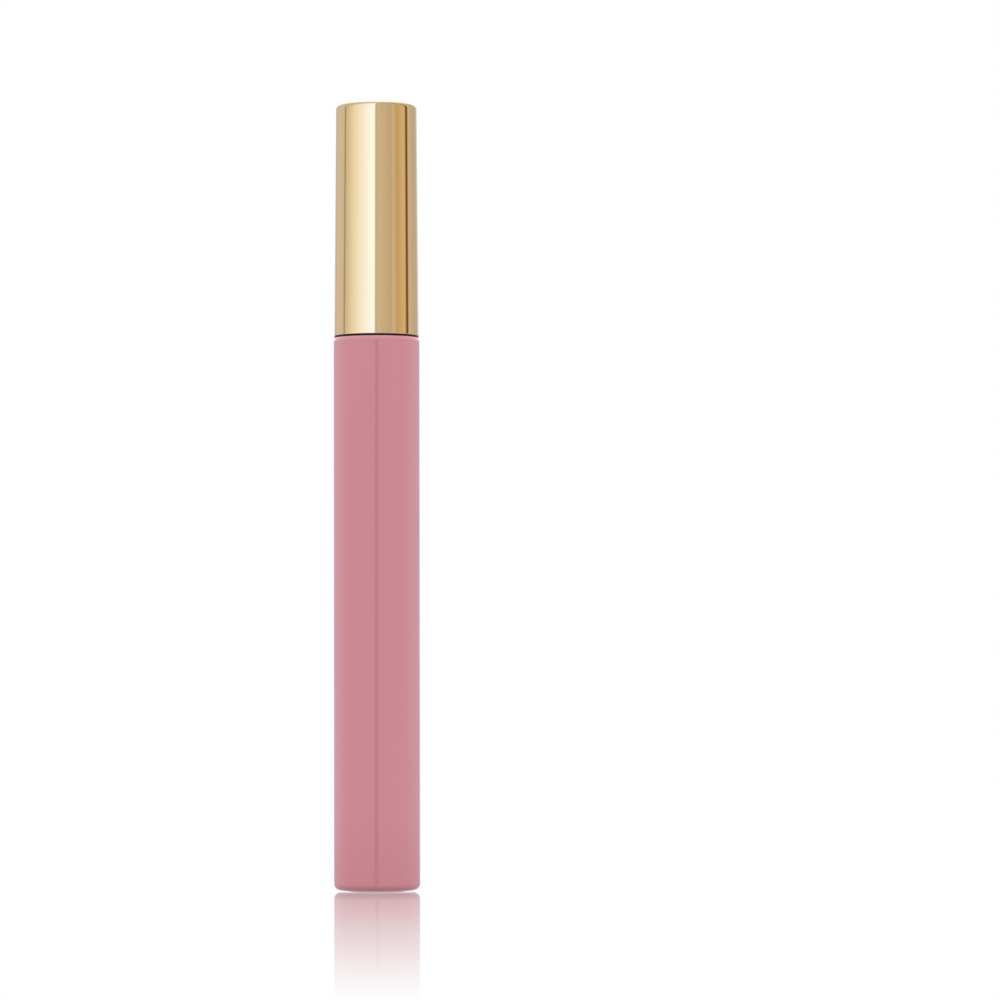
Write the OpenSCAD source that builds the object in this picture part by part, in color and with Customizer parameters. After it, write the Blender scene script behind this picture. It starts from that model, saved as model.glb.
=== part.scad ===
// Slim round mascara tube with a screw cap that carries the brush wand.
// Millimetres, +Z up, origin at the centre of the underside of the bottle.
// The closed tube stands on its base; the wand hangs inside the bottle.

/* [Bottle] */
// Outside diameter of the bottle body
body_d = 14.2; // [13.8:0.1:15]
// Height of the shoulder above the base
body_h = 91.55; // [85:0.05:100]
// Radius of the rounded edge at the foot of the body
foot_edge_r = 1.15; // [0.8:0.05:1.25]
// Radius of the rounded edge at the shoulder
shoulder_edge_r = 1.2; // [0.9:0.05:1.25]
// Wall thickness of the body
body_wall = 1.25; // [1:0.05:1.4]
// Thickness of the bottle floor at its middle
floor_t = 1.3; // [1:0.1:2]
// Depth of the recess under the base
recess_d = 0.4; // [0.2:0.1:0.6]

/* [Neck] */
// Diameter of the plain collar at the foot of the neck
collar_d = 11.2; // [11:0.1:11.3]
// Height of the collar
collar_h = 3.4; // [3.3:0.05:3.4]
// Diameter of the neck between the thread turns
neck_d = 9.52; // [9.4:0.02:9.6]
// Height of the neck above the collar
neck_h = 7.25; // [7.1:0.05:7.5]
// Diameter of the wiper seat in the neck
seat_d = 7.8; // [7.6:0.1:7.9]

/* [Thread] */
// Axial distance from one thread turn to the next
pitch = 2; // [2]
// Diameter over the crest of the bottle's thread
thread_d = 11.26; // [11.1:0.02:11.3]
// Number of turns of thread on the neck
neck_turns = 2.3; // [2:0.1:2.3]
// Number of turns of thread inside the cap
cap_turns = 1.65; // [1.4:0.05:1.65]

/* [Cap] */
// Diameter of the cap shell at its open rim
rim_d = 13.94; // [13.8:0.02:14]
// Diameter of the cap shell at its closed end
cap_end_d = 13.38; // [13.3:0.02:13.6]
// Overall height of the closed tube
total_h = 129.5; // [129:0.1:136]
// Radius of the edge at the closed end of the cap
cap_edge_r = 1; // [0.6:0.1:1.2]
// Wall thickness of the cap shell
shell_wall = 0.45; // [0.4:0.05:0.45]
// Length of the steel weight inside the closed end
weight_len = 9.2; // [6:0.1:9.2]

/* [Wand] */
// Stem diameter where it leaves the cap
stem_top_d = 3.88; // [3.7:0.02:3.9]
// Stem diameter at the brush end
stem_end_d = 3.74; // [3.5:0.02:3.76]
// Length of stem between the rim of the cap and the brush
stem_len = 59.3; // [50:0.1:60]
// Length of the bristled part
brush_len = 26.9; // [22:0.1:27]
// Largest diameter over the bristles
brush_d = 7.06; // [6:0.02:7.1]
// Diameter over the two twisted strands of the core wire
wire_d = 1.3; // [1:0.1:1.4]

/* [Hidden] */
$fn = 96;

body_r = body_d / 2;
collar_r = collar_d / 2;
neck_r = neck_d / 2;
seat_r = seat_d / 2;
crest_r = thread_d / 2;
res_r = body_r - body_wall;            // reservoir radius
floor_z = recess_d + floor_t;          // inside floor
collar_z = body_h + collar_h;          // top of the collar
neck_z = collar_z + neck_h;            // top of the neck
seat_end_z = body_h - 2.4;             // lower end of the narrow neck bore
bead_z = neck_z - 4.2;                 // wiper retaining bead

flange_h = 1.75;                       // wiper flange above the neck
flange_z = neck_z + flange_h;
flange_r = 4.73;
orifice_r = stem_top_d / 2 + 0.06;     // lip that runs on the stem

gasket_t = 0.76;
ceiling_z = flange_z + gasket_t + 0.09; // underside of the insert's ceiling
ceiling_t = 1.5;
socket_r = 2.5;                        // socket for the head of the stem
head_len = 9.6;
socket_z = ceiling_z + head_len + 0.3; // blind end of the socket
insert_top_z = total_h - shell_wall - weight_len - 0.25;

rim_z = body_h - 0.25;                 // open rim of the cap shell
rim_r = rim_d / 2;
end_r = cap_end_d / 2;
insert_z = body_h + 0.2;               // lower end of the insert
bore_r = crest_r + 0.18;               // bore of the insert over the neck thread

stem_end_z = rim_z - stem_len;
tip_z = stem_end_z - brush_len;
wire_r = wire_d / 2;
wire_top_z = stem_end_z + 8;
channel_r = brush_d / 2 + 0.27;        // way through the paste
paste_z = body_h - 15;                 // level of the mascara on the wall

// right-hand thread on the neck: height of its centre line at angle a
thread_z0 = collar_z + 1.4;
ridge_h = crest_r - neck_r;

// radius of the outside of the cap at height z
// a point of the insert's lip, at a distance inside the rim's radius, held off the rounded shoulder
function lip(d) = let(x = max(0, rim_r - d - body_r + shoulder_edge_r))
    [rim_r - d, min(body_h - shoulder_edge_r + sqrt(max(0, pow(shoulder_edge_r, 2) - x * x)) + 0.065, rim_z - 0.07 + 1.2 * (d - 0.02))];
function cap_r(z) = rim_r + (end_r - rim_r) * (z - rim_z) / (total_h - rim_z);

// n + 1 points of an arc about (cx, cy)
function arc(cx, cy, r, a0, a1, n = 8) = [for (i = [0:n]) let (a = a0 + (a1 - a0) * i / n) [cx + r * cos(a), cy + r * sin(a)]];

// share of its full height that a thread ridge has at angle a: it dives below the surface at both ends
function fade(a, a0, a1, f) = min(1, (a - a0) / f * 1.25 - 0.25, (a1 - a) / f * 1.25 - 0.25);

// helical ridge from radius r0 (its root) to r1 (its crest), wb wide at the root and wc at the crest.
// Its flanks run straight on into the wall for the depth embed.
module ridge(r0, r1, wb, wc, z_at_0, a0, turns, embed, f = 30, step = 10) {
    a1 = a0 + 360 * turns;
    n = ceil((a1 - a0) / step);
    out = r1 > r0 ? 1 : -1;
    slope = (wb - wc) / 2 / abs(r1 - r0);
    pts = [for (i = [0:n])
        let (a = a0 + (a1 - a0) * i / n,
             z = z_at_0 + pitch * a / 360,
             rc = r0 + (r1 - r0) * fade(a, a0, a1, f),
             rr = r0 - out * embed,
             hb = wc / 2 + slope * abs(rc - rr))
        each [for (p = [[rr, -hb], [rc, -wc / 2], [rc, wc / 2], [rr, hb]])
            [p[0] * cos(a), p[0] * sin(a), z + p[1]]]];
    m = 4;
    sides = [for (i = [0:n - 1]) for (j = [0:m - 1])
        let (p = i * m + j, q = i * m + (j + 1) % m)
        each (out > 0
            ? [[p, q, q + m], [p, q + m, p + m]]
            : [[p, q + m, q], [p, p + m, q + m]])];
    caps = out > 0
        ? [[for (j = [m - 1:-1:0]) j], [for (j = [0:m - 1]) n * m + j]]
        : [[for (j = [0:m - 1]) j], [for (j = [m - 1:-1:0]) n * m + j]];
    polyhedron(points = pts, faces = concat(sides, caps), convexity = 10);
}

// solid of revolution from [radius, height] points
module turned(points) {
    rotate_extrude() polygon(points);
}

module bottle() {
    color([0.79, 0.54, 0.57])
    union() {
        turned(concat(
            [[0, recess_d], [4.2, recess_d], [4.7, 0]],
            arc(body_r - foot_edge_r, foot_edge_r, foot_edge_r, -90, 0),
            arc(body_r - shoulder_edge_r, body_h - shoulder_edge_r, shoulder_edge_r, 0, 90),
            [[collar_r, body_h]],
            arc(collar_r - 0.28, collar_z - 0.28, 0.28, 0, 90, 4),
            [[neck_r, collar_z]],
            arc(neck_r - 0.25, neck_z - 0.25, 0.25, 0, 90, 4),
            [[seat_r, neck_z],
             // groove for the wiper's retaining bead
             [seat_r, bead_z + 0.45], [seat_r + 0.2, bead_z + 0.2], [seat_r + 0.2, bead_z - 0.2], [seat_r, bead_z - 0.45],
             [seat_r, seat_end_z], [res_r, seat_end_z - (res_r - seat_r) * 1.1]],
            arc(res_r - 1.2, floor_z + 1.2, 1.2, 0, -90, 6),
            [[0, floor_z]]
        ));
        ridge(neck_r, crest_r, 1.14, 0.34, thread_z0, -69, neck_turns, 0.38);
    }
}

module wiper() {
    t = 0.62;
    lip_z = seat_end_z + 0.3;
    color([0.10, 0.10, 0.12])
    turned([
        // outside, from the lip up to the flange
        [orifice_r, lip_z], [orifice_r + 0.42, lip_z],
        [orifice_r + 0.9, lip_z + 2.2],
        [seat_r - 0.35, lip_z + 3.2], [seat_r, lip_z + 4.0],
        [seat_r, bead_z - 0.4], [seat_r + 0.16, bead_z - 0.16], [seat_r + 0.16, bead_z + 0.16], [seat_r, bead_z + 0.4],
        [seat_r, neck_z], [flange_r - 0.2, neck_z], [flange_r - 0.17, neck_z + 0.1],
        [flange_r, flange_z - 0.25], [flange_r - 0.07, flange_z - 0.07], [flange_r - 0.25, flange_z],
        // inside, from the mouth down to the lip
        [3.45, flange_z], [seat_r - t, flange_z - 0.55],
        [seat_r - t, lip_z + 4.3], [orifice_r + 0.35, lip_z + 2.4], [orifice_r, lip_z + 0.6]
    ]);
}

module mascara_paste() {
    color([0.05, 0.05, 0.06])
    turned(concat(
        [[0, floor_z]],
        arc(res_r - 1.2, floor_z + 1.2, 1.2, -90, 0, 6),
        [[res_r, paste_z], [res_r - 0.5, paste_z - 0.6], [channel_r + 0.5, paste_z - 1.6], [channel_r, paste_z - 2.4]],
        [[channel_r, tip_z + 2.2]],
        arc(channel_r - 2.6, tip_z + 2.0, 2.6, 0, -90, 6),
        [[0, tip_z - 0.6]]
    ));
}

module gasket() {
    z = flange_z + 0.045;
    color([0.85, 0.85, 0.83])
    translate([0, 0, z])
    difference() {
        cylinder(r = 4.6, h = gasket_t);
        translate([0, 0, -1]) cylinder(r = stem_top_d / 2 + 0.1, h = gasket_t + 2);
    }
}

module cap_shell() {
    w = shell_wall;
    e = cap_edge_r;
    color([0.83, 0.66, 0.36])
    turned(concat(
        [[rim_r - 0.1, rim_z], [rim_r, rim_z + 0.08]],
        arc(end_r - e, total_h - e, e, 0, 90),
        [[0, total_h], [0, total_h - w]],
        arc(end_r - e, total_h - e, e - w, 90, 0, 5),
        [[rim_r - w, rim_z + 0.7], [rim_r - 0.2, rim_z + 0.3]]
    ));
}

module cap_insert() {
    top_r = cap_r(insert_top_z) - shell_wall - 0.03;
    low_r = cap_r(insert_z) - shell_wall - 0.05;
    boss_r = 3.55;
    color([0.09, 0.09, 0.10])
    union() {
        turned([
            [bore_r + 0.2, insert_z], [low_r - 0.3, insert_z],
            // thin lip that comes out under the shell's rim, just clear of the shoulder
            lip(0.37), lip(0.17), lip(0.07), lip(0.02),
            [rim_r - 0.02, rim_z - 0.012], [rim_r - 0.13, rim_z - 0.012], [rim_r - 0.225, rim_z + 0.29],
            [low_r, rim_z + 0.68], [top_r, insert_top_z],
            [top_r - 0.8, insert_top_z], [top_r - 0.8, ceiling_z + ceiling_t],
            [boss_r, ceiling_z + ceiling_t], [boss_r - 0.15, insert_top_z - 0.2],
            [0, insert_top_z - 0.2], [0, socket_z], [socket_r, socket_z],
            [socket_r, ceiling_z], [bore_r, ceiling_z], [bore_r, insert_z + 0.25]
        ]);
        // ribs that stiffen the boss inside the sleeve
        for (a = [0:60:300]) rotate([0, 0, a])
            translate([boss_r - 0.5, -0.35, ceiling_z + ceiling_t - 0.2])
                cube([top_r - 0.4 - boss_r + 0.5, 0.7, insert_top_z - 1.2 - ceiling_z - ceiling_t]);
        ridge(bore_r, crest_r - 0.63, 1.14, 0.36, thread_z0 - pitch / 2, 100, cap_turns, 0.27);
    }
}

module cap_weight() {
    r = cap_r(insert_top_z) - shell_wall - 0.35;
    z = insert_top_z + 0.1;
    color([0.60, 0.61, 0.62])
    turned([
        [0, z], [r - 0.3, z], [r, z + 0.3],
        [r, z + weight_len - 0.9], [r - 0.7, z + weight_len], [0, z + weight_len]
    ]);
}

module wand_stem() {
    rt = stem_top_d / 2;
    re = stem_end_d / 2;
    h = ceiling_z;
    barb = function (z) [[socket_r - 0.12, z], [socket_r - 0.01, z + 0.15], [socket_r - 0.01, z + 0.35], [socket_r - 0.12, z + 0.9]];
    color([0.13, 0.13, 0.15])
    turned(concat(
        [[wire_r, stem_end_z]],
        arc(re - 0.8, stem_end_z + 0.8, 0.8, -90, 0, 6),
        [[rt, rim_z], [rt, h + 0.02], [socket_r - 0.12, h + 0.02]],
        barb(h + 1.2), barb(h + 3.2), barb(h + 5.2),
        [[socket_r - 0.12, h + head_len - 0.4], [socket_r - 0.5, h + head_len],
         [0, h + head_len], [0, wire_top_z], [wire_r, wire_top_z]]
    ));
}

module core_wire() {
    color([0.35, 0.35, 0.37])
    turned([
        [0, tip_z], [wire_r - 0.25, tip_z], [wire_r, tip_z + 0.25],
        [wire_r, wire_top_z], [0, wire_top_z]
    ]);
}

// radius over the bristles at fraction t of the brush, from the stem to the tip
function brush_r(t) = brush_d / 2
    * (t < 0.3 ? 1 - 0.15 * pow(1 - t / 0.3, 2) : (1 - 0.15 * (t - 0.3) / 0.7) * pow(1 - pow((t - 0.3) / 0.7, 9), 0.7));

module bristles() {
    n = 26;
    color([0.06, 0.06, 0.08])
    turned(concat(
        [[wire_r, stem_end_z - 0.15]],
        [for (i = [0:n]) let (t = i / n) [max(wire_r + 0.05, brush_r(t)), stem_end_z - 0.15 - (brush_len - 0.5) * t]],
        [[wire_r, tip_z + 0.35]]
    ));
}

bottle();
wiper();
mascara_paste();
gasket();
cap_shell();
cap_insert();
cap_weight();
wand_stem();
core_wire();
bristles();
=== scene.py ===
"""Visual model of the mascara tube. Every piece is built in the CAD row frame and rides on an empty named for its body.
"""

import math

import bmesh
import bpy
import numpy as np
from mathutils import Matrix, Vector, noise


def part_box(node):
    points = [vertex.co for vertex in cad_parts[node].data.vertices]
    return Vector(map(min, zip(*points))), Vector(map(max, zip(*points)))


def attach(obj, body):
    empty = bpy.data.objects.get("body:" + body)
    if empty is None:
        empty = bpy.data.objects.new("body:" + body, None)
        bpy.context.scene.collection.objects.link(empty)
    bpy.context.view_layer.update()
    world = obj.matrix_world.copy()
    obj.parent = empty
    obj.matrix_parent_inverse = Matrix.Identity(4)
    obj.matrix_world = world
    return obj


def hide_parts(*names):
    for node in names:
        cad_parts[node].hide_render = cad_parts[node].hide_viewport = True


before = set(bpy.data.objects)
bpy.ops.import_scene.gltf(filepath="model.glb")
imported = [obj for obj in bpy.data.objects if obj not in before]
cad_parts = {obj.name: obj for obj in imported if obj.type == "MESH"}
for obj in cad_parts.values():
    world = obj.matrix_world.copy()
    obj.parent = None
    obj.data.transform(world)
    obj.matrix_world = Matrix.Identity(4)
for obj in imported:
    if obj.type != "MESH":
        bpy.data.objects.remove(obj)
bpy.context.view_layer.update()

MM = 0.001
TAU = 2 * math.pi

# ---------------------------------------------------------------- dimensions, in millimetres, from the CAD boxes


def span(node):
    lo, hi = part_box(node)
    return np.array(lo) / MM, np.array(hi) / MM


b_lo, b_hi = span("bottle")
s_lo, s_hi = span("cap_shell")
w_lo, w_hi = span("wiper")
st_lo, st_hi = span("wand_stem")
br_lo, br_hi = span("bristles")
wi_lo, wi_hi = span("core_wire")
in_lo, in_hi = span("cap_insert")
g_lo, g_hi = span("gasket")
wt_lo, wt_hi = span("cap_weight")
pa_lo, pa_hi = span("mascara_paste")

BODY_R = 7.1
NECK_Z = b_hi[2]
COLLAR_Z = NECK_Z - 7.25
SHOULDER_Z = COLLAR_Z - 3.4
RIM_Z = s_lo[2]
TOP_Z = s_hi[2]
RIM_R, END_R = 6.97, 6.69
FLANGE_Z = w_hi[2]
STEM_END_Z = st_lo[2]
TIP_Z = wi_lo[2]
THREAD_Z0 = COLLAR_Z + 1.4
PITCH = 2.0
CEILING_Z = FLANGE_Z + 0.85
INSERT_TOP_Z = in_hi[2]

# ---------------------------------------------------------------- mesh helpers


def rounded(points, seg=6):
    """points are (r, z) or (r, z, corner radius); returns the outline with its corners rounded."""
    pts = [(p[0], p[1], p[2] if len(p) > 2 else 0.0) for p in points]
    out = []
    for i, (x, y, rad) in enumerate(pts):
        if rad <= 0 or i in (0, len(pts) - 1):
            out.append((x, y))
            continue
        p = np.array([x, y])
        a = np.array(pts[i - 1][:2]) - p
        b = np.array(pts[(i + 1) % len(pts)][:2]) - p
        la, lb = np.linalg.norm(a), np.linalg.norm(b)
        a, b = a / la, b / lb
        half = math.acos(max(-1, min(1, float(a @ b)))) / 2
        if half > math.pi / 2 - 0.02:
            out.append((x, y))
            continue
        # each edge is shared between the roundings at its two ends
        share_a = rad / (rad + pts[i - 1][2])
        share_b = rad / (rad + pts[(i + 1) % len(pts)][2])
        cut = min(rad / math.tan(half), la * 0.97 * share_a, lb * 0.97 * share_b)
        rad = cut * math.tan(half)
        bis = (a + b) / np.linalg.norm(a + b)
        c = p + bis * (rad / math.sin(half))
        s, e = p + a * cut - c, p + b * cut - c
        a0, a1 = math.atan2(s[1], s[0]), math.atan2(e[1], e[0])
        while a1 - a0 > math.pi:
            a1 -= TAU
        while a1 - a0 < -math.pi:
            a1 += TAU
        n = max(2, int(seg * abs(a1 - a0) / (math.pi / 2) + 0.5))
        out += [(c[0] + rad * math.cos(a0 + (a1 - a0) * k / n), c[1] + rad * math.sin(a0 + (a1 - a0) * k / n)) for k in range(n + 1)]
    return out


def refine(points, z0, z1, step, only_vertical=True):
    """Adds points along straight stretches between heights z0 and z1, so that a surface there can carry relief."""
    out = [points[0]]
    for p, q in zip(points, points[1:]):
        length = math.hypot(q[0] - p[0], q[1] - p[1])
        inside = min(p[1], q[1]) >= z0 - 1e-6 and max(p[1], q[1]) <= z1 + 1e-6
        if inside and length > step * 1.5 and (not only_vertical or abs(q[1] - p[1]) > abs(q[0] - p[0])):
            n = int(math.ceil(length / step))
            out += [(p[0] + (q[0] - p[0]) * k / n, p[1] + (q[1] - p[1]) * k / n) for k in range(1, n)]
        out.append(q)
    return out


def supported(points, gap=0.03, longer=0.4):
    """Adds a point just inside each end of every long straight stretch, so that the shading stays flat between its roundings."""
    out = [points[0]]
    for p, q in zip(points, points[1:]):
        length = math.hypot(q[0] - p[0], q[1] - p[1])
        if length > longer:
            for f in (gap / length, 1 - gap / length):
                out.append((p[0] + (q[0] - p[0]) * f, p[1] + (q[1] - p[1]) * f))
        out.append(q)
    return out


def add_mesh(name, verts, faces, sharp=32):
    me = bpy.data.meshes.new(name)
    me.from_pydata([tuple(v) for v in verts], [], faces)
    me.validate()
    bm = bmesh.new()
    bm.from_mesh(me)
    bmesh.ops.recalc_face_normals(bm, faces=bm.faces)
    bm.to_mesh(me)
    bm.free()
    me.shade_smooth()
    if sharp:
        me.set_sharp_from_angle(angle=math.radians(sharp))
    ob = bpy.data.objects.new(name, me)
    bpy.context.scene.collection.objects.link(ob)
    return ob


def turned(name, outline, columns=192, relief=None, closed=None, sharp=32, angles=None):
    """Solid of revolution of an outline of (r, z) in millimetres. relief(r, z, angles) gives the radius of each column."""
    outline = supported(outline)
    th = np.linspace(0, TAU, columns, endpoint=False) if angles is None else np.array(angles)
    n = len(th)
    cos, sin = np.cos(th), np.sin(th)
    closed = (outline[0][0] > 1e-6) if closed is None else closed
    verts, rows = [], []
    for r, z in outline:
        if r < 1e-6:
            rows.append([len(verts)])
            verts.append((0.0, 0.0, z * MM))
            continue
        rr = np.full(n, r) if relief is None else relief(r, z, th)
        rows.append(list(range(len(verts), len(verts) + n)))
        verts += [(a * c * MM, a * s * MM, z * MM) for a, c, s in zip(rr, cos, sin)]
    faces = []
    pairs = list(zip(rows, rows[1:])) + ([(rows[-1], rows[0])] if closed else [])
    for p, q in pairs:
        for j in range(n):
            k = (j + 1) % n
            if len(p) == 1 and len(q) == 1:
                break
            if len(p) == 1:
                faces.append((p[0], q[j], q[k]))
            elif len(q) == 1:
                faces.append((p[j], p[k], q[0]))
            else:
                faces.append((p[j], p[k], q[k], q[j]))
    return add_mesh(name, verts, faces, sharp)


def thread(z0, a0, a1, height, base, crest, fade=30.0):
    """Relief of a right-hand thread ridge: its height at each angle, for height z on the axis."""

    def at(z, th):
        deg = np.degrees(th) % 360
        u = (z - z0) / PITCH - deg / 360
        best = np.zeros_like(deg)
        for k in (np.floor(u), np.floor(u) + 1):
            a = deg + 360 * k
            dz = np.abs(z - z0 - PITCH * a / 360)
            grow = np.clip(np.minimum((a - a0) / fade, (a1 - a) / fade), 0, 1)
            grow = grow * grow * (3 - 2 * grow)
            flank = np.clip((base / 2 - dz) / ((base - crest) / 2), 0, 1)
            soft = flank * flank * (3 - 2 * flank)
            best = np.maximum(best, height * grow * (0.45 * flank + 0.55 * soft))
        return best

    return at


def smooth(x, a, b):
    t = np.clip((x - a) / (b - a), 0, 1)
    return t * t * (3 - 2 * t)


def around_seams(columns, seams, fine=(0.0, 0.35, 0.8, 1.3)):
    """Column angles, with extra ones beside each seam (degrees)."""
    th = set(np.round(np.linspace(0, 360, columns, endpoint=False), 5))
    for s in seams:
        th = {t for t in th if abs((t - s + 180) % 360 - 180) > 1.5}
        for f in fine:
            th |= {round((s + f) % 360, 5), round((s - f) % 360, 5)}
    return np.radians(sorted(th))


# ---------------------------------------------------------------- materials


def material(name, base, rough, metallic=0.0, **sockets):
    m = bpy.data.materials.new(name)
    m.use_nodes = True
    nt = m.node_tree
    p = nt.nodes["Principled BSDF"]
    p.inputs["Base Color"].default_value = (*base, 1)
    p.inputs["Roughness"].default_value = rough
    p.inputs["Metallic"].default_value = metallic
    for k, v in sockets.items():
        p.inputs[k.replace("_", " ")].default_value = v
    m.diffuse_color = (*base, 1)
    return m, nt, p


def coords(nt, scale=(1, 1, 1)):
    tc = nt.nodes.new("ShaderNodeTexCoord")
    mp = nt.nodes.new("ShaderNodeMapping")
    mp.inputs["Scale"].default_value = scale
    nt.links.new(tc.outputs["Object"], mp.inputs["Vector"])
    return mp.outputs["Vector"]


def noise_tex(nt, scale, detail=3.0, stretch=(1, 1, 1), rough=0.5, distort=0.0):
    n = nt.nodes.new("ShaderNodeTexNoise")
    n.inputs["Scale"].default_value = scale
    n.inputs["Detail"].default_value = detail
    n.inputs["Roughness"].default_value = rough
    n.inputs["Distortion"].default_value = distort
    nt.links.new(coords(nt, stretch), n.inputs["Vector"])
    return n.outputs["Fac"]


def remap(nt, fac, lo, hi, a=0.0, b=1.0):
    r = nt.nodes.new("ShaderNodeMapRange")
    r.inputs["From Min"].default_value = a
    r.inputs["From Max"].default_value = b
    r.inputs["To Min"].default_value = lo
    r.inputs["To Max"].default_value = hi
    nt.links.new(fac, r.inputs["Value"])
    return r.outputs["Result"]


def mix_colour(nt, fac, a, b):
    m = nt.nodes.new("ShaderNodeMix")
    m.data_type = "RGBA"
    for i, c in ((6, a), (7, b)):
        if isinstance(c, tuple):
            m.inputs[i].default_value = (*c, 1)
        else:
            nt.links.new(c, m.inputs[i])
    if isinstance(fac, float):
        m.inputs[0].default_value = fac
    else:
        nt.links.new(fac, m.inputs[0])
    return m.outputs[2]


def bump(nt, p, height, strength, distance):
    b = nt.nodes.new("ShaderNodeBump")
    b.inputs["Strength"].default_value = strength
    b.inputs["Distance"].default_value = distance
    nt.links.new(height, b.inputs["Height"])
    nt.links.new(b.outputs["Normal"], p.inputs["Normal"])
    return b


def math_node(nt, op, a, b=None, clamp=False):
    n = nt.nodes.new("ShaderNodeMath")
    n.operation = op
    n.use_clamp = clamp
    for i, v in ((0, a), (1, b)):
        if v is None:
            continue
        if isinstance(v, (int, float)):
            n.inputs[i].default_value = v
        else:
            nt.links.new(v, n.inputs[i])
    return n.outputs[0]


PINK = (0.420, 0.161, 0.179)
SEAMS = (261.3, 81.3)  # where the two halves of the neck mould met, in degrees about the axis


def pink_plastic():
    m, nt, p = material("pink_plastic", PINK, 0.09, IOR=1.5)
    drift = noise_tex(nt, 60, 2, (1, 1, 0.35))
    flow = noise_tex(nt, 900, 2, (1, 1, 0.02))
    tint = mix_colour(nt, remap(nt, drift, 0, 1, 0.3, 0.7), tuple(c * 0.985 for c in PINK), tuple(min(1, c * 1.015) for c in PINK))
    tint = mix_colour(nt, remap(nt, flow, 0, 0.10, 0.35, 0.75), tint, (PINK[0] * 1.10, PINK[1] * 1.16, PINK[2] * 1.16))
    # painted shade: the barrel's colour darkens towards the floor
    sep = nt.nodes.new("ShaderNodeSeparateXYZ")
    nt.links.new(coords(nt), sep.inputs[0])
    low = remap(nt, sep.outputs["Z"], 1, 0, 0.0012, 0.014)
    tint = mix_colour(nt, math_node(nt, "MULTIPLY", low, 0.9), tint, tuple(c * 0.93 for c in PINK))
    # painted contact shadow: a dark band along the bottom edge of the barrel
    contact_shadow = remap(nt, sep.outputs["Z"], 1, 0, 0.00005, 0.0009)
    tint = mix_colour(nt, math_node(nt, "MULTIPLY", contact_shadow, 0.55), tint, (PINK[0] * 0.45, PINK[1] * 0.42, PINK[2] * 0.55))
    # painted highlight: the base colour is lighter along the parting line of the neck mould
    seam = math.radians(SEAMS[0])
    off = math_node(nt, "ADD", math_node(nt, "MULTIPLY", sep.outputs["X"], -math.sin(seam)), math_node(nt, "MULTIPLY", sep.outputs["Y"], math.cos(seam)))
    seam_highlight = remap(nt, math_node(nt, "ABSOLUTE", off), 1, 0, 0.00002, 0.00011)
    seam_highlight = math_node(nt, "MULTIPLY", seam_highlight, remap(nt, sep.outputs["Z"], 0, 0.42, (COLLAR_Z - 0.4) * MM, (COLLAR_Z + 0.5) * MM))
    tint = mix_colour(nt, seam_highlight, tint, (0.80, 0.50, 0.50))
    nt.links.new(tint, p.inputs["Base Color"])
    nt.links.new(remap(nt, noise_tex(nt, 420, 3), 0.075, 0.115, 0.3, 0.7), p.inputs["Roughness"])
    bump(nt, p, noise_tex(nt, 500, 1, (1, 1, 0.08)), 0.04, 0.000005)
    return m


GOLD = (0.95, 0.70, 0.37)


def gold():
    m, nt, p = material("gold_mirror", GOLD, 0.002, 1.0)
    drawn = noise_tex(nt, 1500, 2, (1, 1, 0.012))
    tint = mix_colour(nt, remap(nt, drawn, 0, 1, 0.35, 0.65), (0.945, 0.69, 0.36), (0.955, 0.71, 0.38))
    nt.links.new(tint, p.inputs["Base Color"])
    nt.links.new(remap(nt, noise_tex(nt, 300, 3, (1, 1, 0.3)), 0.0, 0.003, 0.3, 0.7), p.inputs["Roughness"])
    bump(nt, p, noise_tex(nt, 260, 1, (1, 1, 0.15)), 0.03, 0.000004)
    return m


def black_moulded(name, base, rough, speckle=1800.0, level=0.2):
    m, nt, p = material(name, base, rough, Specular_IOR_Level=level)
    grain = noise_tex(nt, speckle, 3)
    tint = mix_colour(nt, remap(nt, noise_tex(nt, 160, 3), 0, 1, 0.35, 0.65), tuple(c * 0.86 for c in base), tuple(c * 1.18 for c in base))
    nt.links.new(tint, p.inputs["Base Color"])
    nt.links.new(remap(nt, grain, rough - 0.06, rough + 0.08, 0.3, 0.7), p.inputs["Roughness"])
    bump(nt, p, grain, 0.18, 0.00002)
    return m


def stem_plastic():
    m, nt, p = material("stem_plastic", (0.009, 0.009, 0.013), 0.42, Specular_IOR_Level=0.15)
    sep = nt.nodes.new("ShaderNodeSeparateXYZ")
    nt.links.new(coords(nt), sep.inputs[0])
    z = sep.outputs["Z"]
    near_brush = remap(nt, z, 1, 0, STEM_END_Z * MM, (STEM_END_Z + 9) * MM)
    near_cap = remap(nt, z, 0, 1, (RIM_Z - 3.6) * MM, (RIM_Z - 1.2) * MM)
    zone = math_node(nt, "MAXIMUM", near_brush, near_cap)
    blobs = noise_tex(nt, 1300, 4, (1, 1, 0.6), 0.6, 0.6)
    smear = remap(nt, math_node(nt, "ADD", blobs, math_node(nt, "MULTIPLY", zone, 0.34)), 0, 1, 0.66, 0.76)
    tint = mix_colour(nt, remap(nt, noise_tex(nt, 240, 3, (1, 1, 0.12)), 0, 1, 0.3, 0.7), (0.0046, 0.0060, 0.0132), (0.0084, 0.0102, 0.0200))
    tint = mix_colour(nt, smear, tint, (0.002, 0.002, 0.003))
    nt.links.new(tint, p.inputs["Base Color"])
    nt.links.new(remap(nt, smear, 0.42, 0.2), p.inputs["Roughness"])
    bump(nt, p, math_node(nt, "ADD", math_node(nt, "MULTIPLY", smear, 1.0), math_node(nt, "MULTIPLY", noise_tex(nt, 2200, 3), 0.18)), 0.35, 0.00005)
    return m


def bristle_nylon():
    m, nt, p = material("bristle_nylon", (0.0025, 0.0035, 0.0085), 0.38, Specular_IOR_Level=0.06)
    wet = noise_tex(nt, 700, 4)
    nt.links.new(mix_colour(nt, remap(nt, wet, 0, 1, 0.3, 0.7), (0.0042, 0.0054, 0.0120), (0.0088, 0.0108, 0.0230)), p.inputs["Base Color"])
    nt.links.new(remap(nt, wet, 0.28, 0.52, 0.3, 0.7), p.inputs["Roughness"])
    bump(nt, p, noise_tex(nt, 5000, 2), 0.25, 0.00002)
    return m


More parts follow.
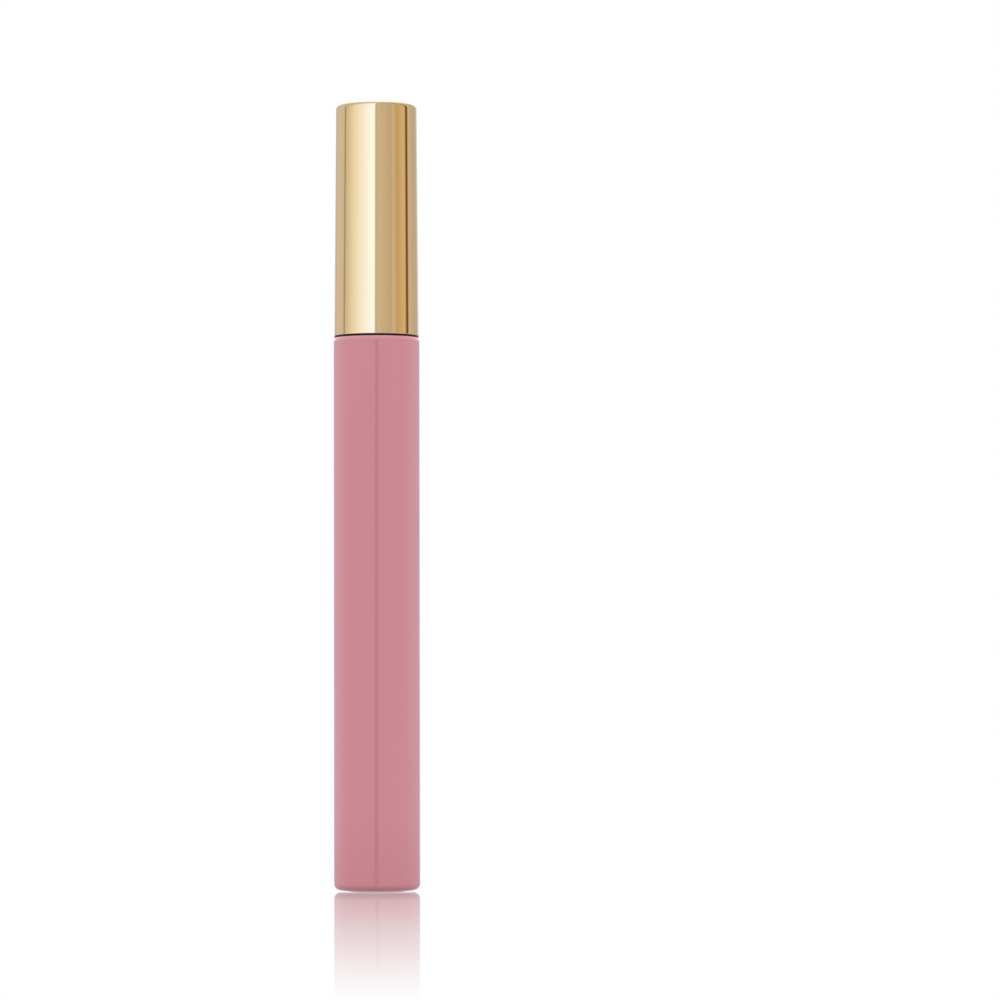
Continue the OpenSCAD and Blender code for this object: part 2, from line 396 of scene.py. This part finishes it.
def steel(name, base, rough, rings):
    m, nt, p = material(name, base, rough, 1.0)
    g = noise_tex(nt, 1400, 3, (0.05, 0.05, 1) if rings else (1, 1, 0.2))
    nt.links.new(mix_colour(nt, remap(nt, noise_tex(nt, 300, 3), 0, 1, 0.3, 0.7), tuple(c * 0.85 for c in base), tuple(min(1, c * 1.1) for c in base)), p.inputs["Base Color"])
    nt.links.new(remap(nt, g, rough - 0.08, rough + 0.1, 0.3, 0.7), p.inputs["Roughness"])
    bump(nt, p, g, 0.3, 0.00001)
    return m


def foam():
    m, nt, p = material("gasket_foam", (0.72, 0.72, 0.69), 0.8)
    cells = nt.nodes.new("ShaderNodeTexVoronoi")
    cells.inputs["Scale"].default_value = 6500
    nt.links.new(coords(nt), cells.inputs["Vector"])
    nt.links.new(mix_colour(nt, remap(nt, cells.outputs["Distance"], 0, 1, 0, 0.7), (0.60, 0.60, 0.57), (0.78, 0.78, 0.76)), p.inputs["Base Color"])
    nt.links.new(remap(nt, noise_tex(nt, 900, 2), 0.7, 0.9, 0.3, 0.7), p.inputs["Roughness"])
    bump(nt, p, cells.outputs["Distance"], 0.5, 0.00005)
    return m


def paste():
    m, nt, p = material("mascara", (0.007, 0.007, 0.009), 0.2)
    wave = noise_tex(nt, 260, 4, (1, 1, 0.5), 0.55, 1.0)
    nt.links.new(mix_colour(nt, remap(nt, wave, 0, 1, 0.3, 0.7), (0.004, 0.004, 0.006), (0.012, 0.012, 0.016)), p.inputs["Base Color"])
    nt.links.new(remap(nt, wave, 0.14, 0.34, 0.3, 0.7), p.inputs["Roughness"])
    bump(nt, p, wave, 0.5, 0.0002)
    return m


MAT = {
    "pink": pink_plastic(),
    "gold": gold(),
    "insert": black_moulded("black_plastic", (0.0075, 0.006, 0.0065), 0.40, 1800.0, 0.07),
    "rubber": black_moulded("black_elastomer", (0.0055, 0.0065, 0.0165), 0.44, 1200.0, 0.10),
    "stem": stem_plastic(),
    "nylon": bristle_nylon(),
    "wire": steel("coated_wire", (0.030, 0.033, 0.046), 0.40, False),
    "weight": steel("weight_steel", (0.52, 0.52, 0.53), 0.32, True),
    "foam": foam(),
    "paste": paste(),
}


def finish_piece(ob, mat, node, body):
    ob.data.materials.clear()
    ob.data.materials.append(MAT[mat])
    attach(ob, body)
    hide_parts(node)
    return ob


# ---------------------------------------------------------------- bottle

neck_thread = thread(THREAD_Z0, -66, -69 + 360 * 2.3 - 3, 5.65 - 4.76, 1.44, 0.36)


def bottle_relief(r, z, th):
    rr = np.full(len(th), r)
    outer = r > 4.3 and z > COLLAR_Z - 0.01
    if outer and COLLAR_Z + 0.05 < z < NECK_Z - 0.1:
        rr = rr + neck_thread(z, th)
    # the two fine parting lines that the neck mould leaves
    if r > 4.3 and z > SHOULDER_Z - 0.3:
        for s in SEAMS:
            d = np.abs((np.degrees(th) - s + 180) % 360 - 180)
            rr = rr + 0.045 * np.clip(1 - d / 0.9, 0, 1)
    return rr


SEAT_R, SEAT_END, BEAD = 3.9, SHOULDER_Z - 2.4, NECK_Z - 4.2
RES_R, FLOOR_Z = BODY_R - 1.25, 1.7
outline = rounded(
    [
        (0, 0.4), (4.2, 0.4, 0.25), (4.7, 0, 0.15), (BODY_R, 0, 1.15), (BODY_R, SHOULDER_Z, 1.2),
        (5.6, SHOULDER_Z, 0.10), (5.6, COLLAR_Z, 0.28), (4.76, COLLAR_Z, 0.12), (4.76, NECK_Z, 0.25),
        (SEAT_R, NECK_Z, 0.12), (SEAT_R, BEAD + 0.45), (SEAT_R + 0.2, BEAD + 0.2, 0.1), (SEAT_R + 0.2, BEAD - 0.2, 0.1), (SEAT_R, BEAD - 0.45),
        (SEAT_R, SEAT_END, 0.3), (RES_R, SEAT_END - (RES_R - SEAT_R) * 1.1, 1.0), (RES_R, FLOOR_Z, 1.2), (0, FLOOR_Z),
    ],
    seg=10,
)
outline = refine(outline, COLLAR_Z + 0.05, NECK_Z - 0.2, 0.055)
outline = refine(outline, 1.0, SHOULDER_Z - 1.0, 6.0)
bottle = turned("bottle_moulding", outline, relief=bottle_relief, closed=False, angles=around_seams(224, SEAMS))
finish_piece(bottle, "pink", "bottle", "bottle")

# ---------------------------------------------------------------- wiper

LIP = SEAT_END + 0.3
OR = 1.94 + 0.06
wiper_outline = rounded(
    [
        (OR, LIP), (OR + 0.42, LIP, 0.12), (OR + 0.9, LIP + 2.2, 0.4), (SEAT_R - 0.35, LIP + 3.2, 0.4), (SEAT_R - 0.01, LIP + 4.0, 0.3),
        (SEAT_R - 0.01, BEAD - 0.4, 0.1), (SEAT_R + 0.15, BEAD - 0.16, 0.12), (SEAT_R + 0.15, BEAD + 0.16, 0.12), (SEAT_R - 0.01, BEAD + 0.4, 0.1),
        (SEAT_R - 0.01, NECK_Z + 0.01), (4.53, NECK_Z + 0.01, 0.06), (4.56, NECK_Z + 0.1, 0.06), (4.73, FLANGE_Z - 0.22, 0.12), (4.52, FLANGE_Z, 0.14),
        (3.45, FLANGE_Z, 0.18), (SEAT_R - 0.62, FLANGE_Z - 0.55, 0.3), (SEAT_R - 0.62, LIP + 4.3, 0.8), (OR + 0.35, LIP + 2.4, 0.8), (OR, LIP + 0.6),
    ],
    seg=8,
)


def flange_sag(r, z, th):
    # the soft flange isn't perfectly round
    if z > NECK_Z + 0.05 and r > 4.0:
        return np.full(len(th), r) - 0.025 + 0.022 * np.sin(2 * th + 0.8) * (z - NECK_Z) / 1.75
    return np.full(len(th), r)


wiper = turned("wiper_insert", wiper_outline, 160, relief=flange_sag)
finish_piece(wiper, "rubber", "wiper", "bottle")

# ---------------------------------------------------------------- paste that lines the bottle

CH_R = 3.8
paste_outline = rounded(
    [
        (0, FLOOR_Z + 0.01), (RES_R - 0.02, FLOOR_Z + 0.01, 1.2), (RES_R - 0.02, pa_hi[2] - 0.35, 0.2), (RES_R - 0.6, pa_hi[2] - 0.9, 0.5),
        (CH_R + 0.45, pa_hi[2] - 2.0, 0.6), (CH_R, pa_hi[2] - 3.2, 0.8), (CH_R, TIP_Z - 0.6, 2.4), (0, TIP_Z - 0.6),
    ],
    seg=8,
)
paste_outline = refine(paste_outline, 3.0, pa_hi[2], 0.8)


def paste_relief(r, z, th):
    rr = np.full(len(th), r)
    if r < RES_R - 0.1 and z > TIP_Z - 0.5:
        n = np.array([noise.noise(Vector((math.cos(t) * 1.6, math.sin(t) * 1.6, z * 0.35))) for t in th])
        rr = rr + 0.18 * np.abs(n)
    return rr


mascara = turned("mascara_lining", paste_outline, 72, relief=paste_relief, closed=False)
finish_piece(mascara, "paste", "mascara_paste", "bottle")

# ---------------------------------------------------------------- gasket and weight

gz0, gz1 = g_lo[2], g_hi[2]
gasket = turned("gasket_washer", rounded([(2.04, (gz0 + gz1) / 2), (2.04, gz0, 0.08), (4.6, gz0, 0.12), (4.6, gz1, 0.12), (2.04, gz1, 0.08), (2.04, (gz0 + gz1) / 2 + 0.02)], 5), 128)
finish_piece(gasket, "foam", "gasket", "gasket")

wr = wt_hi[0]
wz0, wz1 = wt_lo[2], wt_hi[2]
weight = turned(
    "weight_slug",
    rounded(
        [(0, wz0), (1.1, wz0), (1.25, wz0 + 0.12), (1.4, wz0), (wr - 0.3, wz0, 0.1), (wr, wz0 + 0.3, 0.15), (wr, wz1 - 0.9, 0.1), (wr - 0.7, wz1, 0.3), (1.4, wz1), (1.25, wz1 - 0.12), (1.1, wz1), (0, wz1)],
        5,
    ),
    128,
    closed=False,
)
finish_piece(weight, "weight", "cap_weight", "weight")

# ---------------------------------------------------------------- gold shell

W = 0.45
shell_outline = rounded(
    [
        (0, TOP_Z), (END_R, TOP_Z, 0.74), (RIM_R, RIM_Z + 0.004, 0.09), (RIM_R - 0.12, RIM_Z + 0.004, 0.01), (RIM_R - 0.2, RIM_Z + 0.3, 0.05), (RIM_R - W, RIM_Z + 0.7, 0.1),
        (END_R - W, TOP_Z - W, 0.55), (0, TOP_Z - W),
    ],
    seg=12,
)
shell = turned("cap_outer_shell", shell_outline, 256, closed=False)
finish_piece(shell, "gold", "cap_shell", "cap")

# ---------------------------------------------------------------- inner cap with its thread


def cap_r(z):
    return RIM_R + (END_R - RIM_R) * (z - RIM_Z) / (TOP_Z - RIM_Z)


def painted_shadow_lip(d):
    """A point of the black lip that comes out under the shell's rim, held just off the rounded shoulder: a dark sheet
    that stands in as painted shadow for the gap between rim and shoulder.
    """
    return RIM_R - d, SHOULDER_Z - 1.2 + math.sqrt(1.44 - (RIM_R - d - BODY_R + 1.2) ** 2) + 0.065


BORE_R = 5.81
I_Z = SHOULDER_Z + 0.2
low_r = cap_r(I_Z) - W - 0.05
top_r = cap_r(INSERT_TOP_Z) - W - 0.03
SOCKET_Z = CEILING_Z + 9.9
BOSS = 3.55
# the black lip under the shell's rim is a dark sheet put into the gap between rim and shoulder: painted shadow
insert_outline = rounded(
    [
        (BORE_R + 0.2, I_Z), (low_r - 0.3, I_Z, 0.05), *(painted_shadow_lip(d) for d in (0.37, 0.24, 0.17, 0.12, 0.07, 0.04, 0.02)),
        (RIM_R - 0.02, RIM_Z - 0.006, 0.01), (RIM_R - 0.13, RIM_Z - 0.006), (RIM_R - 0.225, RIM_Z + 0.29), (low_r, RIM_Z + 0.68, 0.08),
        (top_r, INSERT_TOP_Z, 0.12), (top_r - 0.8, INSERT_TOP_Z, 0.12),
        (top_r - 0.8, CEILING_Z + 1.5, 0.25), (BOSS, CEILING_Z + 1.5, 0.25), (BOSS - 0.15, INSERT_TOP_Z - 0.2, 0.2), (0, INSERT_TOP_Z - 0.2),
        (0, SOCKET_Z), (2.5, SOCKET_Z, 0.15), (2.5, CEILING_Z, 0.08), (BORE_R, CEILING_Z, 0.15), (BORE_R, I_Z + 0.25, 0.05),
    ],
    seg=6,
)


def split_at_axis(points):
    """The outline touches the axis twice: the two runs between those points become the outside and the inside."""
    cut = [i for i, p in enumerate(points) if p[0] < 1e-6]
    return points[: cut[0] + 1], points[cut[1]:]


out_run, in_run = split_at_axis(insert_outline)
insert_thread = thread(THREAD_Z0 - PITCH / 2, 103, 100 + 360 * 1.65 - 3, 0.81, 1.2, 0.32)
in_run = refine(in_run, I_Z + 0.2, CEILING_Z - 0.2, 0.07)


def insert_relief(r, z, th):
    rr = np.full(len(th), r)
    if abs(r - BORE_R) < 0.02 and I_Z + 0.3 < z < CEILING_Z - 0.3:
        rr = rr - insert_thread(z, th)
    return rr


insert = turned("inner_cap", list(reversed(out_run)) + [(p[0], p[1]) for p in reversed(in_run)], 160, relief=insert_relief, closed=False)
finish_piece(insert, "insert", "cap_insert", "cap")

# ---------------------------------------------------------------- stem, with dried product at both ends

RT, RE, WIRE_R = 1.94, 1.87, 0.65
H = CEILING_Z
WIRE_TOP = wi_hi[2]


def barbs(z):
    return [(2.38, z), (2.49, z + 0.15, 0.04), (2.49, z + 0.35, 0.04), (2.38, z + 0.9)]


stem_outline = rounded(
    [
        (WIRE_R, (STEM_END_Z + WIRE_TOP) / 2), (WIRE_R, STEM_END_Z, 0.08), (RE, STEM_END_Z, 1.0), (RT, RIM_Z), (RT, H + 0.02, 0.05), (2.38, H + 0.02, 0.08),
        *barbs(H + 1.2), *barbs(H + 3.2), *barbs(H + 5.2), (2.38, H + 9.2, 0.1), (2.0, H + 9.6, 0.1), (0, H + 9.6),
        (0, WIRE_TOP), (WIRE_R, WIRE_TOP, 0.05), (WIRE_R, (STEM_END_Z + WIRE_TOP) / 2 + 0.05),
    ],
    seg=8,
)
axis_points = [i for i, p in enumerate(stem_outline) if p[0] < 1e-6]
# start on the axis at the blind end of the wire's hole, run down the hole, round the outside and end on the axis at the top
stem_run = stem_outline[axis_points[1]:] + stem_outline[: axis_points[0] + 1]
stem_run = refine(stem_run, STEM_END_Z, RIM_Z + 0.01, 0.22)


def stem_relief(r, z, th):
    rr = np.full(len(th), r)
    if r < 1.0 or z > RIM_Z:
        return rr
    low = float(smooth(z, STEM_END_Z + 9.5, STEM_END_Z + 2.0))
    high = float(smooth(z, RIM_Z - 3.4, RIM_Z - 1.8)) * float(smooth(z, RIM_Z + 0.2, RIM_Z - 0.3))
    if low + high < 0.01:
        return rr
    left = 0.35 + 0.65 * np.clip(-np.cos(th), 0, 1)
    bumps = np.array([noise.fractal(Vector((math.cos(t) * 2.6, math.sin(t) * 2.6, z * 1.5)), 0.8, 2.0, 4) for t in th])
    return rr + np.clip(bumps, 0, 1) * (0.085 * low * left + 0.05 * high)


stem = turned("stem_rod", stem_run, 96, relief=stem_relief, closed=False)
finish_piece(stem, "stem", "wand_stem", "cap")

# ---------------------------------------------------------------- twisted core wire

LEAD = 3.6


def tube(path, radii, sides, phase=0.0):
    """Vertices and faces of a closed tube along a path of points, with a flat cap at each end; the radii given can
    taper it towards the ends.
    """
    path = np.array(path, float)
    t = np.gradient(path, axis=0)
    t /= np.linalg.norm(t, axis=1)[:, None]
    ref = np.array([0.0, 0.0, 1.0]) if abs(t[0][2]) < 0.9 else np.array([1.0, 0.0, 0.0])
    verts, faces = [], []
    u = ref - t[0] * (ref @ t[0])
    u /= np.linalg.norm(u)
    for i, (p, tt, r) in enumerate(zip(path, t, radii)):
        u = u - tt * (u @ tt)
        u /= np.linalg.norm(u)
        v = np.cross(tt, u)
        for k in range(sides):
            a = TAU * k / sides + phase
            verts.append(p + r * (u * math.cos(a) + v * math.sin(a)))
    n = len(path)
    for i in range(n - 1):
        for k in range(sides):
            a, b = i * sides + k, i * sides + (k + 1) % sides
            faces.append((a, b, b + sides, a + sides))
    faces.append(tuple(range(sides - 1, -1, -1)))
    faces.append(tuple((n - 1) * sides + k for k in range(sides)))
    return verts, faces


def gather(parts):
    verts, faces = [], []
    for v, f in parts:
        o = len(verts)
        verts += [tuple(np.array(p) * MM) for p in v]
        faces += [tuple(i + o for i in q) for q in f]
    return verts, faces


PHASE0 = math.radians(20)


def twist_at(z):
    """Angle of the line between the two strands at height z: a left-hand twist."""
    return PHASE0 + TAU * (STEM_END_Z - z) / LEAD


strands = []
for half in (0.0, math.pi):
    zs = np.arange(WIRE_TOP - 0.05, TIP_Z + 0.30, -LEAD / 26)
    path = [(0.315 * math.cos(twist_at(z) + half), 0.315 * math.sin(twist_at(z) + half), z) for z in zs]
    radii = [0.318] * len(path)
    # the cut ends are rounded over
    for k, s in enumerate((0.55, 0.85)):
        radii[-1 - k] = 0.318 * s
    strands.append(tube(path, radii, 14))
wire = add_mesh("twisted_wire", *gather(strands), sharp=45)
finish_piece(wire, "wire", "core_wire", "cap")

# ---------------------------------------------------------------- bristles: nylon fibres clamped in the twist

rng = np.random.default_rng(11)
BRUSH_LEN = STEM_END_Z - TIP_Z


def brush_r(t):
    return float(np.interp(t, [0, 0.1, 0.3, 0.55, 0.70, 0.80, 0.867, 0.925, 0.965, 1.0], [3.05, 3.28, 3.46, 3.52, 3.42, 3.22, 2.95, 2.45, 1.7, 0.95]))


FIBRES = 2050
CLUMP = 0.20  # length of wire whose fibres cling together, in millimetres
clumps = {}


def clump(side, index):
    key = (side, index)
    if key not in clumps:
        clumps[key] = (rng.normal(0, 0.26), rng.normal(0, 0.15), rng.uniform(0.87, 1.04), rng.uniform(0.30, 0.88))
    return clumps[key]


fibres = []
for i in range(FIBRES):
    s = 0.35 + (BRUSH_LEN - 0.75) * (i + rng.uniform(0, 1)) / FIBRES
    t = s / BRUSH_LEN
    z0 = STEM_END_Z - s
    for side in (0, 1):
        index = int(s / CLUMP + 0.37 * side)
        sc = (index + 0.5 - 0.37 * side) * CLUMP
        dphi, dz, length, hold = clump(side, index)
        base_a = twist_at(z0) + math.pi / 2 + side * math.pi + rng.normal(0, 0.16)
        full = brush_r(t) * length * rng.uniform(0.955, 1.01)
        if rng.uniform() < 0.02:
            full = min(3.55, full * 1.06)
            hold *= 0.2
        full = max(full, 0.62)
        # free tip of this fibre, and the point that its clump draws to
        own_a = base_a + rng.normal(0, 0.32)
        own_z = z0 + rng.normal(0, 0.21 + 0.16 * max(0.0, (t - 0.9) / 0.1))
        tip_a = twist_at(STEM_END_Z - sc) + math.pi / 2 + side * math.pi + dphi
        tip_z = STEM_END_Z - sc + dz
        end_a = own_a + (tip_a - own_a) * hold
        end_z = own_z + (tip_z - own_z) * hold - full * 0.15
        end_z = max(end_z, TIP_Z + 0.03 + 0.25 * rng.uniform())
        pts, rad = [], []
        for k, u in enumerate((0.0, 0.30, 0.62, 0.86, 1.0)):
            r = 0.10 + (full - 0.10) * u
            bend = u ** 1.7
            a = base_a + (end_a - base_a) * bend
            z = z0 + (end_z - z0) * u ** 1.35
            pts.append((r * math.cos(a), r * math.sin(a), z))
            rad.append((0.088, 0.086, 0.070, 0.052, 0.028)[k])
        fibres.append(tube(pts, rad, 4, rng.uniform(0, 1)))
# short and folded fibres that fill the root of each wing
for i in range(900):
    s = 0.5 + (BRUSH_LEN - 0.8) * (i + rng.uniform(0, 1)) / 900
    z0 = STEM_END_Z - s
    for side in (0, 1):
        off = float(np.clip(rng.normal(0, 0.72), -1.4, 1.4))
        full = 0.98 + 1.3 * (1 - abs(off) / 1.4) ** 1.3 + rng.uniform(-0.2, 0.2)
        full *= min(1.0, 0.45 + s / 2.2, 0.4 + (BRUSH_LEN - s) / 3.2)
        a0 = twist_at(z0) + math.pi / 2 + side * math.pi
        pts, rad = [], []
        for k, u in enumerate((0.0, 0.4, 0.75, 1.0)):
            a = a0 + off * (0.35 + 0.65 * u)
            r = 0.12 + (full - 0.12) * u
            z = max(TIP_Z + 0.1, z0 - 0.22 * full * u ** 1.4 + 0.1 * rng.normal() * u)
            pts.append((r * math.cos(a), r * math.sin(a), z))
            rad.append((0.11, 0.105, 0.085, 0.04)[k])
        fibres.append(tube(pts, rad, 4, rng.uniform(0, 1)))
brush = add_mesh("bristle_fibres", *gather(fibres), sharp=60)
finish_piece(brush, "nylon", "bristles", "cap")

# ---------------------------------------------------------------- floor

FLOOR_MM = -0.12
me = bpy.data.meshes.new("floor")
N = 96
ring = [(6 * math.cos(TAU * k / N), 6 * math.sin(TAU * k / N), FLOOR_MM * MM) for k in range(N)]
me.from_pydata(ring, [], [tuple(range(N))])
floor = bpy.data.objects.new("floor", me)
bpy.context.scene.collection.objects.link(floor)
fm = bpy.data.materials.new("pale_floor")
fm.use_nodes = True
nt = fm.node_tree
nt.nodes.clear()
out = nt.nodes.new("ShaderNodeOutputMaterial")
white = nt.nodes.new("ShaderNodeEmission")
white.inputs["Color"].default_value = (1, 1, 1, 1)
white.inputs["Strength"].default_value = 1.0
gloss = nt.nodes.new("ShaderNodeBsdfGlossy")
gloss.inputs["Color"].default_value = (1, 1, 1, 1)
gloss.inputs["Roughness"].default_value = 0.012
mixer = nt.nodes.new("ShaderNodeMixShader")
tc = nt.nodes.new("ShaderNodeTexCoord")
ln = nt.nodes.new("ShaderNodeVectorMath")
ln.operation = "LENGTH"
nt.links.new(tc.outputs["Object"], ln.inputs[0])
ramp = nt.nodes.new("ShaderNodeValToRGB")
stops = [(0.0, 0.80), (0.10, 0.62), (0.20, 0.39), (0.30, 0.085), (0.325, 0.0)]
span_m = 0.4
mr = nt.nodes.new("ShaderNodeMapRange")
mr.inputs["From Max"].default_value = span_m
nt.links.new(ln.outputs["Value"], mr.inputs["Value"])
nt.links.new(mr.outputs["Result"], ramp.inputs["Fac"])
el = ramp.color_ramp.elements
while len(el) > 1:
    el.remove(el[0])
el[0].position, el[0].color = 0.0, (0.80, 0.80, 0.80, 1)
for d, k in stops[1:]:
    e = el.new(d / span_m)
    e.color = (k, k, k, 1)
nt.links.new(ramp.outputs["Color"], mixer.inputs["Fac"])
nt.links.new(white.outputs[0], mixer.inputs[1])
nt.links.new(gloss.outputs[0], mixer.inputs[2])
nt.links.new(mixer.outputs[0], out.inputs["Surface"])
floor.data.materials.append(fm)
floor.visible_diffuse = False
floor.visible_glossy = False
floor.visible_shadow = False
floor.visible_transmission = False

# ---------------------------------------------------------------- studio: a white room for the eye, soft boxes and flags for the gloss

world = bpy.data.worlds.new("studio")
bpy.context.scene.world = world
world.use_nodes = True
nt = world.node_tree
nt.nodes.clear()
w_out = nt.nodes.new("ShaderNodeOutputWorld")
tc = nt.nodes.new("ShaderNodeTexCoord")
sep = nt.nodes.new("ShaderNodeSeparateXYZ")
nt.links.new(tc.outputs["Generated"], sep.inputs[0])
# azimuth from the front (-Y), positive towards +X, as 0..1 over -180..180 degrees
az = math_node(nt, "ARCTAN2", sep.outputs["X"], math_node(nt, "MULTIPLY", sep.outputs["Y"], -1.0))
up = sep.outputs["Z"]
# the stands lean by half a degree for each degree of height
lean = remap(nt, up, 3.5 / 360, -2.1 / 360, math.sin(math.radians(-2.6)), math.sin(math.radians(8)))
az01 = math_node(nt, "ADD", math_node(nt, "ADD", math_node(nt, "DIVIDE", az, TAU), 0.5), lean)


def band_ramp(stops, interpolation="LINEAR"):
    r = nt.nodes.new("ShaderNodeValToRGB")
    r.color_ramp.interpolation = interpolation
    e = r.color_ramp.elements
    while len(e) > 1:
        e.remove(e[0])
    first = True
    for deg, c in stops:
        pos = (deg + 180) / 360
        if first:
            e[0].position, e[0].color = pos, (*c, 1)
            first = False
        else:
            x = e.new(pos)
            x.color = (*c, 1)
    nt.links.new(az01, r.inputs["Fac"])
    return r.outputs["Color"]


# what the mirror-gold shell sees: a large graded soft box on the left, a grey wall, a warm reflector and dark stands
CAP_BANDS = [
    (-180, (1.05, 1.05, 1.05)), (-170, (1.05, 1.05, 1.05)), (-162, (0.62, 0.64, 0.74)), (-150, (0.56, 0.54, 0.61)), (-136, (0.66, 0.66, 0.72)), (-109, (0.66, 0.66, 0.69)),
    (-103.5, (0.64, 0.61, 0.61)), (-100, (0.37, 0.34, 0.31)), (-98, (0.39, 0.36, 0.33)), (-94, (0.64, 0.63, 0.62)), (-86, (0.70, 0.70, 0.69)),
    (-74, (0.80, 0.84, 0.89)), (-60, (0.91, 0.98, 1.13)), (-47, (0.965, 1.09, 1.37)), (-32, (1.01, 1.19, 1.62)), (-21, (1.03, 1.29, 1.95)),
    (-5.2, (1.04, 1.37, 2.25)), (-3.9, (0.90, 0.95, 1.20)), (-2.2, (0.56, 0.53, 0.50)), (3.6, (0.64, 0.635, 0.65)), (42, (0.545, 0.51, 0.47)),
    (47, (0.63, 0.60, 0.57)), (54, (0.59, 0.55, 0.50)), (58, (0.54, 0.45, 0.34)), (66, (0.62, 0.50, 0.33)), (86, (0.71, 0.59, 0.41)), (92.5, (0.12, 0.08, 0.06)),
    (96, (0.12, 0.08, 0.06)), (101.5, (0.66, 0.61, 0.58)), (117, (0.57, 0.54, 0.52)), (145, (0.52, 0.505, 0.57)), (170, (0.9, 0.95, 1.05)),
]
# what everything else sees: two tall soft boxes that meet in a narrow gap at the front, cool walls behind
BODY_BANDS = [
    (-180, (1.10, 1.10, 1.10)), (-172, (1.10, 1.10, 1.10)), (-160, (0.68, 0.60, 0.76)), (-148, (0.74, 0.74, 0.92)), (-136, (0.84, 0.92, 1.15)),
    (-112, (1.38, 1.36, 1.42)), (-4.0, (1.40, 1.40, 1.42)), (-1.6, (0.03, 0.02, 0.02)), (5.6, (0.03, 0.02, 0.02)), (8.4, (1.40, 1.40, 1.42)),
    (112, (1.38, 1.36, 1.42)), (136, (0.84, 0.92, 1.15)), (148, (0.74, 0.74, 0.92)), (160, (0.68, 0.60, 0.76)), (172, (1.10, 1.10, 1.10)),
]


def sine(deg):
    return math.sin(math.radians(deg))


cap_env = band_ramp(CAP_BANDS)
cap_env = mix_colour(nt, remap(nt, up, 0, 0.8, sine(62), sine(84)), cap_env, (0.62, 0.53, 0.45))
cap_env = mix_colour(nt, remap(nt, up, 0, 0.7, sine(-9), sine(-30)), cap_env, (0.95, 0.86, 0.74))
body_env = band_ramp(BODY_BANDS)
# above the tops of the stands the room is even, so that the floor stays white from every side
body_env = mix_colour(nt, remap(nt, up, 0, 1, sine(4.6), sine(6.2)), body_env, (1.42, 1.42, 1.44))
body_env = mix_colour(nt, remap(nt, up, 0, 1, sine(9), sine(20)), body_env, (1.80, 1.80, 2.05))
body_env = mix_colour(nt, remap(nt, up, 0, 0.45, sine(-1.5), sine(-1.8)), body_env, (0.62, 0.60, 0.62))
body_env = mix_colour(nt, remap(nt, up, 0, 0.8, sine(-9), sine(-22)), body_env, (1.00, 0.80, 0.80))
lp = nt.nodes.new("ShaderNodeLightPath")
full = mix_colour(nt, lp.outputs["Is Singular Ray"], body_env, cap_env)

bg_env = nt.nodes.new("ShaderNodeBackground")
nt.links.new(full, bg_env.inputs["Color"])
bg_env.inputs["Strength"].default_value = 1.0
bg_white = nt.nodes.new("ShaderNodeBackground")
bg_white.inputs["Color"].default_value = (1, 1, 1, 1)
bg_white.inputs["Strength"].default_value = 1.0
mx = nt.nodes.new("ShaderNodeMixShader")
nt.links.new(lp.outputs["Is Camera Ray"], mx.inputs[0])
nt.links.new(bg_env.outputs[0], mx.inputs[1])
nt.links.new(bg_white.outputs[0], mx.inputs[2])
nt.links.new(mx.outputs[0], w_out.inputs["Surface"])

# ---------------------------------------------------------------- camera

cam_data = bpy.data.cameras.new("camera")
cam = bpy.data.objects.new("camera", cam_data)
bpy.context.scene.collection.objects.link(cam)
bpy.context.scene.camera = cam
cam.location = (20.25 * MM, -860 * MM, 29.8 * MM)
cam_data.sensor_width = 36
cam_data.lens = 187.9
cam.rotation_euler = (math.radians(90 + 2.29), math.radians(0.12), 0)
cam_data.clip_start, cam_data.clip_end = 0.05, 20
cam_data.dof.use_dof = False

scene = bpy.context.scene
scene.view_settings.view_transform = "Standard"
scene.view_settings.look = "None"
scene.view_settings.exposure = 0
scene.view_settings.gamma = 1
